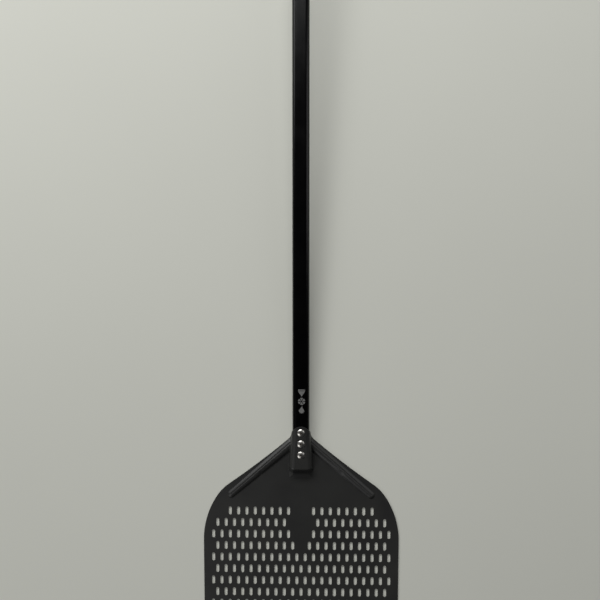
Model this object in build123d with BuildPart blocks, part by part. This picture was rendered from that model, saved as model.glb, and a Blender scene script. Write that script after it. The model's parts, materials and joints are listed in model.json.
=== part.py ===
# Pizza peel: a perforated anodised sheet blade, pressed over a flat-oval tube handle and held to it
# by three blind rivets. Millimetres. X runs across the blade, +Y along the handle, +Z up from the
# table. The origin is on the blade's underside, at the middle of the area that carries the pizza.

import os
from math import cos, radians, sin, tan

from build123d import *

os.makedirs("parts", exist_ok=True)

# Blade: one sheet, with its outline
sheet = 2.0
blade_width = 350.0
blade_length = 406.0
neck_from_centre = 222.0
widest_below_neck = 191.0
side_taper = 2.7
front_corner_radius = 14.0
side_arc_radius = 137.3
side_arc_turn = 35.0
shoulder_arc_radius = 82.4
shoulder_arc_turn = 21.2
neck_flange = 5.8
neck_curve_drop = 9.6
tongue_length = 16.8
front_bevel_length = 4.0
front_bevel_depth = 1.2

# Slots in staggered rows
slot_width = 5.5
slot_length = 15.0
column_pitch = 15.0
row_pitch = 20.8
rows_behind_centre = 4
side_margin = 12.5
front_margin = 24.0
first_row_shorter_by = 1
plain_patch_half_widths = [20.0, 20.0, 20.0, 10.0]

# Handle tube: flat-oval section, rising away from the table
tube_width = 30.0
tube_height = 15.0
tube_wall = 1.5
tube_length = 900.0
tube_tuck = 56.0
tube_lift = 0.5
handle_rise = 3.5

# Socket pressed into the blade over the end of the tube
socket_side_gap = 0.2
socket_draft = 10.0
socket_flare = 3.8
socket_end_gap = 2.5
socket_end_lean = 22.0
socket_end_round = 6.0
socket_root_radius = 0.8
step_height = 2.2
step_reach = 26.1
step_half_width = 27.2
step_slope = 71.8

# Stiffening beads pressed beside the shoulders
bead_start_drop = 17.5
bead_start_radius = 11.5
bead_start_height = 5.0
bead_end_on_arc = 0.7
bead_edge_distance = 17.5
bead_end_radius = 9.0
bead_end_height = 2.8
groove_radius = 4.0
groove_start_depth = 1.1
groove_end_depth = 0.6
groove_start_shift = 4.1
groove_end_shift = 1.8

# Blind rivets
rivet_count = 3
rivet_pitch = 20.0
rivet_end_distance = 22.8
rivet_shank_radius = 3.2
rivet_hole_clearance = 0.05
rivet_head_radius = 6.5
rivet_head_height = 2.2
rivet_bulb_radius = 4.6
rivet_bulb_length = 5.0
rivet_bulb_round = 1.0
rivet_rim = 0.4
rivet_crown = 0.35
mandrel_radius = 1.8
mandrel_gap = 0.02
mandrel_recess = 0.6
mandrel_head_radius = 3.0
mandrel_head_length = 2.0

# Plastic cap in the far end of the tube, with a hole to hang the peel by
cap_lip = 0.4
cap_straight = 20.0
cap_plug_length = 25.0
cap_plug_gap = 0.1
cap_plug_wall = 2.2
eye_radius = 4.5
eye_mouth = 1.2

# Places worked out from the sizes above
neck_y = neck_from_centre
front_y = neck_y - blade_length
widest_y = neck_y - widest_below_neck
half_width = blade_width / 2
round_radius = tube_height / 2
flat_half = tube_width / 2 - round_radius
rivet_hole_radius = rivet_shank_radius + rivet_hole_clearance
rivet_spots = [(0, rivet_end_distance + i * rivet_pitch) for i in range(rivet_count)]
touch = 0.01
clear_height = 4 * tube_height
stock_width = blade_width + 2 * tube_width
stock_length = blade_length + 2 * tongue_length + tube_width

# The handle's own frame: local Y along the tube from its lower end, local Z up from its underside
handle = Plane(
    origin=(0, neck_y - tube_tuck, tube_lift),
    x_dir=(1, 0, 0),
    z_dir=(0, -sin(radians(handle_rise)), cos(radians(handle_rise))),
)


# A plane square across the tube, a distance along it and a height above its underside
def across(distance, height):
    return Plane(
        origin=handle.from_local_coords(Vector(0, distance, height)),
        x_dir=(1, 0, 0),
        z_dir=-handle.y_dir,
    )


socket_reach = tube_tuck + tongue_length + tube_height


# Half the socket's width at a height above the tube's underside, with its wall that far off the tube
def socket_half_width(wall_offset, height):
    lean = radians(socket_draft)
    reach = round_radius + wall_offset - (height - round_radius) * sin(lean)
    return flat_half + reach / cos(lean)


# Section of the socket, outside or inside, at a distance along the tube; it widens from the neck inwards
def socket_section(distance, wall_offset, top, corner_radius):
    widening = (tube_tuck - min(distance, tube_tuck)) * tan(radians(socket_flare))
    bottom = -tube_height
    low = socket_half_width(wall_offset, bottom) + widening
    high = socket_half_width(wall_offset, top) + widening
    with BuildSketch(across(distance, 0)) as section:
        Polygon((-low, bottom), (low, bottom), (high, top), (-high, top), align=None)
        fillet(section.vertices().group_by(Axis.Y)[-1], corner_radius)
    return section.sketch


# Solid between the mouth of the socket and a leaning end wall, with a rounded edge at that wall
def socket_body(wall_offset, top, corner_radius, wall_plane, end_round):
    form = (wall_offset, top, corner_radius)
    with BuildPart() as body:
        extrude(socket_section(socket_reach, *form), amount=socket_reach - tube_tuck)
        loft([socket_section(tube_tuck, *form), socket_section(-tube_tuck, *form)])
        split(bisect_by=wall_plane, keep=Keep.TOP)
        rim = body.faces().sort_by(Axis.Y)[0].edges()
        fillet(rim.sort_by(Axis.Z)[1:], end_round)
    return body.part


end_wall = Plane(
    origin=handle.from_local_coords(Vector(0, -socket_end_gap - sheet, tube_height + sheet)),
    x_dir=(1, 0, 0),
    z_dir=(0, cos(radians(socket_end_lean)), -sin(radians(socket_end_lean))),
)
socket_skin = socket_body(
    socket_side_gap + sheet, tube_height + sheet, round_radius + sheet, end_wall, socket_end_round
)
socket_hollow = socket_body(
    socket_side_gap, tube_height, round_radius, end_wall.offset(sheet), socket_end_round - sheet
)

# Outline of the flat blank, its right half first, going up from the front edge to the tongue
tongue_half = socket_half_width(socket_side_gap + sheet, round_radius)
flange = (tongue_half + neck_flange, neck_y - neck_curve_drop)
with BuildSketch() as blank:
    with BuildLine():
        front = Line((0, front_y), (half_width - side_taper, front_y))
        side = Line(front @ 1, (half_width, widest_y))
        side_arc = JernArc(side @ 1, side % 1, side_arc_radius, side_arc_turn)
        shoulder_arc = JernArc(side_arc @ 1, side_arc % 1, shoulder_arc_radius, shoulder_arc_turn)
        diagonal = TangentArc(shoulder_arc @ 1, flange, tangent=shoulder_arc % 1)
        neck = TangentArc(diagonal @ 1, (tongue_half, neck_y), tangent=diagonal % 1)
        mirror(about=Plane.YZ)
        ThreePointArc((tongue_half, neck_y), (0, neck_y + tongue_length), (-tongue_half, neck_y))
    make_face()
    front_corners = blank.vertices().group_by(Axis.Y)[0].filter_by(lambda v: abs(v.X) > touch)
    fillet(front_corners, front_corner_radius)

# Each bead runs from the socket's flank to inside the shoulder, and gets narrower and lower on its way
edge_point = shoulder_arc @ bead_end_on_arc
edge_inward = (shoulder_arc % bead_end_on_arc).rotate(Axis.Z, 90)
bead_end = edge_point + edge_inward * bead_edge_distance
bead_start = Vector(0, neck_y, 0) + Vector(1, -1, 0) * bead_start_drop
bead_outward = (bead_end - bead_start).normalized().rotate(Axis.Z, 90)


# Round-ended cones along both beads. Each end has a radius, a top height over the sheet and a shift
# towards the blade's edge
def bead_cones(at_start, at_end):
    centres = [
        spot + bead_outward * shift + Vector(0, 0, sheet + top - radius)
        for spot, (radius, top, shift) in ((bead_start, at_start), (bead_end, at_end))
    ]
    axis = centres[1] - centres[0]
    with BuildPart() as cones:
        discs = []
        for centre, (radius, top, shift) in zip(centres, (at_start, at_end)):
            square_on = Plane(origin=centre, x_dir=(0, 0, -1), z_dir=axis)
            with BuildSketch(square_on) as disc:
                Circle(radius)
            discs.append(disc.sketch)
            with Locations(square_on):
                Sphere(radius)
        loft(discs)
        mirror(about=Plane.YZ)
    return cones.part


# Slot centres: staggered rows inside a margin along the outline, round a plain patch in the middle
with BuildSketch() as slot_field:
    add(blank.sketch)
    offset(amount=-side_margin - slot_width / 2, mode=Mode.REPLACE)
slot_area = slot_field.faces().sort_by(SortBy.AREA)[-1]
slot_end = slot_length / 2 - slot_width / 2
rows_ahead = int((-front_y - front_margin - slot_length / 2) / row_pitch)
columns = int(blade_width / column_pitch / 2)
slot_centres = []
for row in range(rows_behind_centre + rows_ahead + 1):
    y = (rows_behind_centre - row) * row_pitch
    shift = column_pitch / 2 if row % 2 == 0 else 0
    plain = plain_patch_half_widths[row] if row < len(plain_patch_half_widths) else 0
    xs = [shift + column * column_pitch for column in range(columns + 1)]
    xs = [x for x in xs if x >= plain and slot_area.is_inside(Vector(x, y + slot_end, 0))]
    if row == 0:
        xs = xs[: len(xs) - first_row_shorter_by]
    slot_centres += [(x, y) for x in xs] + [(-x, y) for x in xs if x > 0]


# Low step between the socket's end wall and the flat sheet, at a height over z = 0
def low_step(height, inset):
    with BuildPart() as step:
        with BuildSketch():
            with Locations((0, neck_y - tube_tuck - socket_end_gap)):
                Rectangle(2 * (step_half_width - inset), 2 * (step_reach - inset))
        extrude(amount=height, taper=step_slope)
    return step.part


# Blade: flat sheet, socket, beads and low step, trimmed to the outline and hollowed from below
with BuildPart() as blade:
    with BuildSketch():
        with Locations((0, (front_y + neck_y) / 2)):
            Rectangle(stock_width, stock_length)
    extrude(amount=sheet)
    stock_end_y = blade.part.bounding_box().max.Y
    add(socket_skin)
    split(bisect_by=Plane.XZ.offset(-stock_end_y), keep=Keep.TOP)
    split(bisect_by=Plane.XY, keep=Keep.TOP)
    root = blade.edges().filter_by_position(Axis.Z, sheet - touch, sheet + touch)
    root = root.filter_by(lambda e: abs(e.center().X) < tube_width)
    root = root.filter_by(lambda e: neck_y - 2 * socket_reach < e.center().Y < stock_end_y - touch)
    fillet(root, socket_root_radius)
    bead_outside = bead_cones(
        (bead_start_radius, bead_start_height, 0), (bead_end_radius, bead_end_height, 0)
    )
    add(bead_outside)
    add(low_step(sheet + step_height, 0))
    extrude(blank.sketch, amount=clear_height, mode=Mode.INTERSECT)
    add(socket_hollow, mode=Mode.SUBTRACT)
    bead_inside = bead_cones(
        (bead_start_radius - sheet, bead_start_height - sheet, 0),
        (bead_end_radius - sheet, bead_end_height - sheet, 0),
    )
    add(bead_inside, mode=Mode.SUBTRACT)
    groove_start_top = bead_start_height - groove_start_depth + 2 * groove_radius
    groove_end_top = bead_end_height - groove_end_depth + 2 * groove_radius
    grooves = bead_cones(
        (groove_radius, groove_start_top, groove_start_shift),
        (groove_radius, groove_end_top, groove_end_shift),
    )
    add(grooves, mode=Mode.SUBTRACT)
    add(low_step(step_height, sheet * tan(radians(step_slope))), mode=Mode.SUBTRACT)
    with BuildSketch(Plane.YZ):
        with BuildLine():
            Polyline(
                (front_y, sheet - front_bevel_depth),
                (front_y + front_bevel_length, sheet),
                (front_y, sheet),
                close=True,
            )
        make_face()
    extrude(amount=half_width, both=True, mode=Mode.SUBTRACT)
    with BuildSketch(handle.offset(tube_height)):
        with Locations(*rivet_spots):
            Circle(rivet_hole_radius)
    extrude(amount=2 * sheet, mode=Mode.SUBTRACT)
    with BuildSketch():
        with Locations(*slot_centres):
            SlotOverall(slot_length, slot_width, rotation=90)
    extrude(amount=sheet, mode=Mode.SUBTRACT)
blade.part.label = "blade"
export_step(blade.part, "parts/blade.step")

# Handle tube
with BuildPart() as handle_tube:
    with BuildSketch(across(0, round_radius)):
        SlotOverall(tube_width, tube_height)
        SlotOverall(tube_width - 2 * tube_wall, tube_height - 2 * tube_wall, mode=Mode.SUBTRACT)
    extrude(amount=-tube_length)
    with BuildSketch(handle.offset(tube_height)):
        with Locations(*rivet_spots):
            Circle(rivet_hole_radius)
    extrude(amount=-2 * tube_wall, mode=Mode.SUBTRACT)
handle_tube.part.label = "handle_tube"
export_step(handle_tube.part, "parts/handle_tube.step")

# Blind rivets: a domed body clinched behind the tube's wall, and what is left of its mandrel
grip = sheet + tube_wall
for number, spot in enumerate(rivet_spots, 1):
    seat = across(spot[1], tube_height + sheet)
    with BuildPart() as rivet_body:
        with BuildSketch(seat):
            with BuildLine():
                bore = mandrel_radius + mandrel_gap
                Polyline(
                    (bore, rivet_head_height),
                    (bore, -grip - rivet_bulb_length),
                    (rivet_bulb_radius - rivet_bulb_round, -grip - rivet_bulb_length),
                )
                ThreePointArc(
                    (rivet_bulb_radius - rivet_bulb_round, -grip - rivet_bulb_length),
                    (rivet_bulb_radius, -grip - rivet_bulb_length / 2),
                    (rivet_bulb_radius - rivet_bulb_round, -grip),
                )
                Polyline(
                    (rivet_bulb_radius - rivet_bulb_round, -grip),
                    (rivet_shank_radius, -grip),
                    (rivet_shank_radius, 0),
                    (rivet_head_radius, 0),
                    (rivet_head_radius, rivet_rim),
                )
                ThreePointArc(
                    (rivet_head_radius, rivet_rim),
                    ((rivet_head_radius + bore) / 2, (rivet_head_height + rivet_rim) / 2 + rivet_crown),
                    (bore, rivet_head_height),
                )
            make_face()
        revolve(axis=Axis(seat.origin, handle.z_dir))
    rivet_body.part.label = f"rivet_body_{number}"
    export_step(rivet_body.part, f"parts/rivet_body_{number}.step")

    with BuildPart() as rivet_mandrel:
        with BuildSketch(seat):
            with BuildLine():
                low = -grip - rivet_bulb_length
                Polyline(
                    (0, rivet_head_height - mandrel_recess),
                    (0, low - mandrel_head_length),
                    (mandrel_head_radius - mandrel_gap, low - mandrel_head_length),
                    (mandrel_head_radius, low),
                    (mandrel_radius, low),
                    (mandrel_radius, rivet_head_height - 2 * mandrel_recess),
                    close=True,
                )
            make_face()
        revolve(axis=Axis(seat.origin, handle.z_dir))
    rivet_mandrel.part.label = f"rivet_mandrel_{number}"
    export_step(rivet_mandrel.part, f"parts/rivet_mandrel_{number}.step")

# End cap: a hollow plug inside the tube, and a rounded end with an eye through it
cap_width = tube_width + 2 * cap_lip
cap_height = tube_height + 2 * cap_lip
plug_width = tube_width - 2 * (tube_wall + cap_plug_gap)
plug_height = tube_height - 2 * (tube_wall + cap_plug_gap)
cap_end = across(tube_length + cap_straight, round_radius)
with BuildPart() as end_cap:
    with BuildSketch(across(tube_length, round_radius)):
        SlotOverall(cap_width, cap_height)
    extrude(amount=-cap_straight)
    with BuildSketch(cap_end) as end_half:
        SlotOverall(cap_width, cap_height)
        with Locations((-cap_width / 2, 0)):
            Rectangle(cap_width, cap_height, mode=Mode.SUBTRACT)
    revolve(axis=Axis(cap_end.origin, handle.z_dir), revolution_arc=180)
    with BuildSketch(across(tube_length, round_radius)):
        SlotOverall(plug_width, plug_height)
    extrude(amount=cap_plug_length)
    with BuildSketch(across(tube_length, round_radius)):
        SlotOverall(plug_width - 2 * cap_plug_wall, plug_height - 2 * cap_plug_wall)
    extrude(amount=cap_plug_length, mode=Mode.SUBTRACT)
    with BuildSketch(cap_end):
        with BuildLine():
            Polyline(
                (0, cap_height / 2),
                (eye_radius + eye_mouth, cap_height / 2),
                (eye_radius, cap_height / 2 - eye_mouth),
                (eye_radius, -cap_height / 2 + eye_mouth),
                (eye_radius + eye_mouth, -cap_height / 2),
                (0, -cap_height / 2),
                close=True,
            )
        make_face()
    revolve(axis=Axis(cap_end.origin, handle.z_dir), mode=Mode.SUBTRACT)
end_cap.part.label = "end_cap"
export_step(end_cap.part, "parts/end_cap.step")

eye_wall = cap_height - 2 * eye_mouth
print("eye centre", cap_end.origin, "axis", handle.z_dir, "wall", eye_wall)
print("slots", len(slot_centres), "overall length", end_cap.part.bounding_box().max.Y - front_y)
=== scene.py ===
import json
from math import atan2, cos, pi, radians, sin, tan

import bmesh
import bpy
from mathutils import Matrix, Vector


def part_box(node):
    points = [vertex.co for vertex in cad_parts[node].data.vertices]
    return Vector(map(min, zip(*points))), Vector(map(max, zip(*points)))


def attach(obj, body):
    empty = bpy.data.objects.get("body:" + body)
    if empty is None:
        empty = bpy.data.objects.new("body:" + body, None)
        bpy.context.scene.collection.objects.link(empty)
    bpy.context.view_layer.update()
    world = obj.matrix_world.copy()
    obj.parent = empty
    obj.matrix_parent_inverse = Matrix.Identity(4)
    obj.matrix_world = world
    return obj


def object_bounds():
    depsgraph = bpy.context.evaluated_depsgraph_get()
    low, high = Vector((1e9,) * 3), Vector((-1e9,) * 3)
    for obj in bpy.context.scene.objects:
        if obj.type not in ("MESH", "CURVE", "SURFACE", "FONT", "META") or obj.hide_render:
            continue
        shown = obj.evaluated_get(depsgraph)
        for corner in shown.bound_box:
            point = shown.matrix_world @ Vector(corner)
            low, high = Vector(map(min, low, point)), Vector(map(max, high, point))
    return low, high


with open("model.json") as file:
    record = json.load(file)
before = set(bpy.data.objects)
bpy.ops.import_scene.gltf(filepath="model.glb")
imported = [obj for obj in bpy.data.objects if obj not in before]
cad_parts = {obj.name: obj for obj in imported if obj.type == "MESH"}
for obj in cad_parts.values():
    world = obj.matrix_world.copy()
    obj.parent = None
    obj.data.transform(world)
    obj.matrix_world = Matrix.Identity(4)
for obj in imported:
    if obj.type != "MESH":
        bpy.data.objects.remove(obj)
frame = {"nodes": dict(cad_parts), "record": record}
cadLow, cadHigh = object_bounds()
nodes = frame["nodes"]
scene = bpy.context.scene
scene.view_settings.view_transform = "Standard"
print("frame loaded:", len(nodes), "nodes")

tubeLow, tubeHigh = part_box("handle_tube")

# camera over the middle of the handle, a little to the right, looking at the shoulders
cameraSetup = {
    "height": 1.08,  # above the blade's underside
    "target": (-0.0022, 0.4626),  # point of the table in the middle of the view
    "pan": 1.2,  # degrees, turned to the left
    "roll": 0.06,  # degrees
    "lens": 36.0,
    "sensor": 36.0,
}


def makeCamera(setup):
    data = bpy.data.cameras.new("camera")
    data.lens = setup["lens"]
    data.sensor_width = setup["sensor"]
    camera = bpy.data.objects.new("camera", data)
    scene.collection.objects.link(camera)
    pan = radians(setup["pan"])
    targetX, targetY = setup["target"]
    camera.location = (targetX + setup["height"] * tan(pan), targetY, setup["height"])
    camera.rotation_euler = (0, pan, radians(setup["roll"]))
    scene.camera = camera


makeCamera(cameraSetup)
print("camera placed")


# node helpers
noiseRoughness = 0.55


def newMaterial(name):
    material = bpy.data.materials.new(name)
    material.use_nodes = True
    tree = material.node_tree
    shader = tree.nodes["Principled BSDF"]
    coords = tree.nodes.new("ShaderNodeTexCoord")
    return material, tree, shader, coords


def noiseOf(tree, coords, scale, detail, stretch=(1, 1, 1)):
    mapping = tree.nodes.new("ShaderNodeMapping")
    mapping.inputs["Scale"].default_value = stretch
    tree.links.new(coords.outputs["Object"], mapping.inputs["Vector"])
    noise = tree.nodes.new("ShaderNodeTexNoise")
    noise.inputs["Scale"].default_value = scale
    noise.inputs["Detail"].default_value = detail
    noise.inputs["Roughness"].default_value = noiseRoughness
    tree.links.new(mapping.outputs["Vector"], noise.inputs["Vector"])
    return noise.outputs["Fac"]


def rampOf(tree, value, stops):
    ramp = tree.nodes.new("ShaderNodeValToRGB")
    while len(ramp.color_ramp.elements) < len(stops):
        ramp.color_ramp.elements.new(0.5)
    for element, (position, color) in zip(ramp.color_ramp.elements, stops):
        element.position = position
        element.color = (*color, 1)
    tree.links.new(value, ramp.inputs["Fac"])
    return ramp.outputs["Color"]


def rangeOf(tree, value, low, high, fromLow=0.0, fromHigh=1.0):
    node = tree.nodes.new("ShaderNodeMapRange")
    node.inputs["From Min"].default_value = fromLow
    node.inputs["From Max"].default_value = fromHigh
    node.inputs["To Min"].default_value = low
    node.inputs["To Max"].default_value = high
    tree.links.new(value, node.inputs["Value"])
    return node.outputs["Result"]


def mixOf(tree, factor, first, color):
    node = tree.nodes.new("ShaderNodeMix")
    node.data_type = "RGBA"
    tree.links.new(factor, node.inputs[0])
    tree.links.new(first, node.inputs[6])
    node.inputs[7].default_value = (*color, 1)
    return node.outputs[2]


def bumpOf(tree, shader, value, strength, distance, below=None):
    bump = tree.nodes.new("ShaderNodeBump")
    bump.inputs["Strength"].default_value = strength
    bump.inputs["Distance"].default_value = distance
    tree.links.new(value, bump.inputs["Height"])
    if below:
        tree.links.new(below, bump.inputs["Normal"])
    tree.links.new(bump.outputs["Normal"], shader.inputs["Normal"])
    return bump.outputs["Normal"]


# finishes
bladeFinish = {
    "color": (0.0190, 0.0190, 0.0188),
    "worn": (0.0255, 0.0255, 0.0236),
    "grain": (0.045, 0.045, 0.043),
    "grainShare": 0.18,
    "roughLow": 0.38,
    "roughHigh": 0.48,
    "blotchScale": 9.0,
    "grainScale": 900.0,
    "pitScale": 2600.0,
}


def hardAnodised(finish):
    material, tree, shader, coords = newMaterial("hardAnodisedSheet")
    blotches = noiseOf(tree, coords, finish["blotchScale"], 4.0)
    grain = noiseOf(tree, coords, finish["grainScale"], 2.0, stretch=(1, 0.08, 1))
    pits = noiseOf(tree, coords, finish["pitScale"], 2.0)
    base = rampOf(tree, blotches, [(0.35, finish["color"]), (0.7, finish["worn"])])
    color = mixOf(tree, rangeOf(tree, grain, 0.0, finish["grainShare"]), base, finish["grain"])
    tree.links.new(color, shader.inputs["Base Color"])
    roughness = rangeOf(tree, blotches, finish["roughLow"], finish["roughHigh"], 0.3, 0.7)
    tree.links.new(roughness, shader.inputs["Roughness"])
    shallow = bumpOf(tree, shader, grain, 0.10, 0.0002)
    bumpOf(tree, shader, pits, 0.12, 0.0001, shallow)
    return material


tubeFinish = {
    "color": (0.0004, 0.0004, 0.0005),
    "gloss": 0.36,
    "rubbed": (0.0010, 0.0010, 0.0010),
    "roughLow": 0.20,
    "roughHigh": 0.26,
    "smudgeScale": 22.0,
    "drawnScale": 1500.0,
}


def blackTube(finish):
    material, tree, shader, coords = newMaterial("blackAnodisedTube")
    smudges = noiseOf(tree, coords, finish["smudgeScale"], 5.0)
    drawn = noiseOf(tree, coords, finish["drawnScale"], 2.0, stretch=(1, 0.02, 1))
    base = rampOf(tree, smudges, [(0.35, finish["color"]), (0.75, finish["rubbed"])])
    tree.links.new(base, shader.inputs["Base Color"])
    roughness = rangeOf(tree, smudges, finish["roughLow"], finish["roughHigh"], 0.3, 0.7)
    tree.links.new(roughness, shader.inputs["Roughness"])
    shader.inputs["Specular IOR Level"].default_value = finish["gloss"]
    bumpOf(tree, shader, drawn, 0.05, 0.0001)
    return material


rivetFinish = {
    "dull": (0.60, 0.58, 0.54),
    "bright": (0.82, 0.80, 0.75),
    "roughLow": 0.26,
    "roughHigh": 0.40,
    "dentScale": 700.0,
}


def brightRivet(finish):
    material, tree, shader, coords = newMaterial("tumbledAluminium")
    dents = noiseOf(tree, coords, finish["dentScale"], 3.0)
    base = rampOf(tree, dents, [(0.3, finish["dull"]), (0.7, finish["bright"])])
    tree.links.new(base, shader.inputs["Base Color"])
    shader.inputs["Metallic"].default_value = 1.0
    roughness = rangeOf(tree, dents, finish["roughLow"], finish["roughHigh"])
    tree.links.new(roughness, shader.inputs["Roughness"])
    bumpOf(tree, shader, dents, 0.10, 0.0002)
    return material


mandrelFinish = {
    "dark": (0.05, 0.045, 0.04),
    "light": (0.16, 0.14, 0.12),
    "roughLow": 0.45,
    "roughHigh": 0.7,
    "gritScale": 1800.0,
}


def brokenMandrel(finish):
    material, tree, shader, coords = newMaterial("brokenSteel")
    grit = noiseOf(tree, coords, finish["gritScale"], 4.0)
    base = rampOf(tree, grit, [(0.3, finish["dark"]), (0.7, finish["light"])])
    tree.links.new(base, shader.inputs["Base Color"])
    shader.inputs["Metallic"].default_value = 0.8
    roughness = rangeOf(tree, grit, finish["roughLow"], finish["roughHigh"])
    tree.links.new(roughness, shader.inputs["Roughness"])
    bumpOf(tree, shader, grit, 0.6, 0.0004)
    return material


capFinish = {
    "dark": (0.010, 0.010, 0.010),
    "light": (0.018, 0.018, 0.018),
    "roughLow": 0.5,
    "roughHigh": 0.62,
    "sparkScale": 1400.0,
}


def mouldedCap(finish):
    material, tree, shader, coords = newMaterial("mouldedPlastic")
    spark = noiseOf(tree, coords, finish["sparkScale"], 3.0)
    base = rampOf(tree, spark, [(0.3, finish["dark"]), (0.7, finish["light"])])
    tree.links.new(base, shader.inputs["Base Color"])
    roughness = rangeOf(tree, spark, finish["roughLow"], finish["roughHigh"])
    tree.links.new(roughness, shader.inputs["Roughness"])
    bumpOf(tree, shader, spark, 0.25, 0.0003)
    return material


def finishNode(name, material):
    mesh = nodes[name].data
    mesh.materials.clear()
    mesh.materials.append(material)


finishNode("blade", hardAnodised(bladeFinish))
finishNode("handle_tube", blackTube(tubeFinish))
finishNode("end_cap", mouldedCap(capFinish))
rivetMetal = brightRivet(rivetFinish)
mandrelMetal = brokenMandrel(mandrelFinish)
for name in nodes:
    if name.startswith("rivet_body"):
        finishNode(name, rivetMetal)
    if name.startswith("rivet_mandrel"):
        finishNode(name, mandrelMetal)
print("materials set")

# printed marks on the handle's upper face: a slice, a cut pie and a flame
markLook = {
    "centre": 0.119,  # along the tube from its lower end
    "sideways": 0.0012,
    "size": 0.0128,
    "pitch": 0.0148,
    "thickness": 0.00008,
    "color": (0.17, 0.17, 0.165),
    "paler": 1.25,
    "darker": 0.6,
    "wornScale": 1600.0,
}
eyeAxis = next(m for m in frame["record"]["mounts"] if m["name"] == "hanging_eye")["axis"]
handleRise = atan2(-eyeAxis[1], eyeAxis[2])
tubeSpan = tubeHigh - tubeLow
tubeHeight = (tubeSpan.z * cos(handleRise) - tubeSpan.y * sin(handleRise)) / cos(2 * handleRise)
tubeCorner = Vector((0, tubeLow.y + tubeHeight * sin(handleRise), tubeLow.z))
handleFrame = Matrix.Translation(tubeCorner) @ Matrix.Rotation(handleRise, 4, "X")


def outlineInto(shape, points, place):
    vertices = [shape.verts.new(place @ Vector((x, y, 0))) for x, y in points]
    shape.faces.new(vertices)


def sliceMark(shape, size, place):
    half = size / 2
    outlineInto(shape, [(-half, half * 0.55), (0, -half), (half, half * 0.55)], place)
    crust = [(-1.05, 0.68), (1.05, 0.68), (0.85, 1.0), (-0.85, 1.0)]
    outlineInto(shape, [(x * half, y * half) for x, y in crust], place)


def pieMark(shape, size, place, cuts=6):
    radius = size * 0.50
    for number in range(cuts):
        middle = (number + 0.5) * 2 * pi / cuts
        reach = [middle + step * 2 * pi / cuts / 8 for step in (-3.1, -1.5, 0, 1.5, 3.1)]
        hub = (0.07 * size * cos(middle), 0.07 * size * sin(middle))
        outlineInto(shape, [hub] + [(radius * cos(turn), radius * sin(turn)) for turn in reach], place)


def flameMark(shape, size, place):
    half = size / 2
    right = [(0.0, -1.0), (0.45, -0.9), (0.72, -0.5), (0.66, -0.05), (0.34, 0.3), (0.12, 1.0)]
    left = [(-0.18, 0.52), (-0.42, 0.2), (-0.50, 0.34), (-0.72, -0.2), (-0.66, -0.62), (-0.4, -0.9)]
    outlineInto(shape, [(x * half, y * half) for x, y in right + left], place)


def makeMarks(look):
    shape = bmesh.new()
    for number, draw in enumerate((sliceMark, pieMark, flameMark)):
        along = look["centre"] + (1 - number) * look["pitch"]
        draw(shape, look["size"], Matrix.Translation((look["sideways"], along, tubeHeight)))
    bmesh.ops.recalc_face_normals(shape, faces=shape.faces)
    upside = [face for face in shape.faces if face.normal.z < 0]
    bmesh.ops.reverse_faces(shape, faces=upside)
    raised = bmesh.ops.extrude_face_region(shape, geom=shape.faces[:])
    tops = [item for item in raised["geom"] if isinstance(item, bmesh.types.BMVert)]
    bmesh.ops.translate(shape, verts=tops, vec=(0, 0, look["thickness"]))
    bmesh.ops.recalc_face_normals(shape, faces=shape.faces)
    bmesh.ops.transform(shape, matrix=handleFrame, verts=shape.verts)
    mesh = bpy.data.meshes.new("printed_marks")
    shape.to_mesh(mesh)
    shape.free()
    marks = bpy.data.objects.new("printed_marks", mesh)
    scene.collection.objects.link(marks)
    material, tree, shader, coords = newMaterial("greyInk")
    worn = noiseOf(tree, coords, look["wornScale"], 4.0)
    paler = tuple(c * look["paler"] for c in look["color"])
    darker = tuple(c * look["darker"] for c in look["color"])
    base = rampOf(tree, worn, [(0.32, darker), (0.5, look["color"]), (0.75, paler)])
    tree.links.new(base, shader.inputs["Base Color"])
    tree.links.new(rangeOf(tree, worn, 0.45, 0.7), shader.inputs["Roughness"])
    mesh.materials.append(material)
    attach(marks, "root")


makeMarks(markLook)
print("marks printed")

# floor and lights
floorLook = {
    "size": 12.0,
    "middle": 0.4,  # along the peel
    "gap": 0.0002,  # under the blade
    "color": (0.50, 0.505, 0.458),
    "glow": 0.20,
    "cloudScale": 1.2,
}


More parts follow.
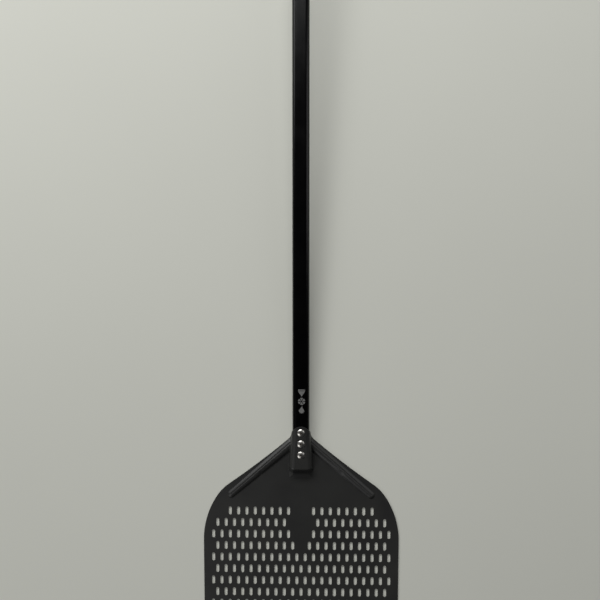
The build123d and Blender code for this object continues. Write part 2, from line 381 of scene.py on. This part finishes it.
def makeFloor(look):
    shape = bmesh.new()
    bmesh.ops.create_grid(shape, x_segments=1, y_segments=1, size=look["size"] / 2)
    mesh = bpy.data.meshes.new("floor")
    shape.to_mesh(mesh)
    shape.free()
    floor = bpy.data.objects.new("floor", mesh)
    scene.collection.objects.link(floor)
    floor.location = (0, look["middle"], cadLow.z - look["gap"])
    material, tree, shader, coords = newMaterial("paleFloor")
    cloudy = noiseOf(tree, coords, look["cloudScale"], 4.0)
    paler = tuple(c * 1.04 for c in look["color"])
    base = rampOf(tree, cloudy, [(0.3, look["color"]), (0.7, paler)])
    tree.links.new(base, shader.inputs["Base Color"])
    shader.inputs["Roughness"].default_value = 0.8
    shader.inputs["Specular IOR Level"].default_value = 0.1
    shader.inputs["Emission Color"].default_value = (*look["color"], 1)
    shader.inputs["Emission Strength"].default_value = look["glow"]
    mesh.materials.append(material)


lightSetup = [
    # name, place, aim, width, depth, watts
    ("ceilingLight", (-0.8, 3.0, 1.75), (0.0, 0.2, 0.0), 3.2, 0.9, 100.0),
    ("topPanel", (-0.2, 2.35, 2.75), (0.0, 0.9, 0.0), 1.8, 0.5, 10.0),
    ("leftFill", (-1.5, -1.7, 1.5), (-0.5, -0.2, 0.0), 1.4, 1.4, 12.0),
    ("upperLeftFill", (-2.2, 1.9, 1.3), (0.0, 0.1, 0.0), 1.2, 1.2, 10.0),
    ("rightFill", (2.6, 1.2, 1.8), (0.3, 0.5, 0.0), 1.4, 1.8, 9.0),
]


roomLight = {
    "color": (0.9, 0.95, 1.0),
    "strength": 0.015,
}


def makeLights(setup, room):
    for name, place, aim, width, depth, watts in setup:
        data = bpy.data.lights.new(name, "AREA")
        data.shape = "RECTANGLE"
        data.size = width
        data.size_y = depth
        data.energy = watts
        light = bpy.data.objects.new(name, data)
        scene.collection.objects.link(light)
        light.location = place
        light.rotation_euler = (Vector(aim) - Vector(place)).to_track_quat("-Z", "Y").to_euler()
    world = bpy.data.worlds.new("room")
    world.use_nodes = True
    background = world.node_tree.nodes["Background"]
    background.inputs["Color"].default_value = (*room["color"], 1)
    background.inputs["Strength"].default_value = room["strength"]
    scene.world = world


makeFloor(floorLook)
makeLights(lightSetup, roomLight)
print("floor and lights placed")
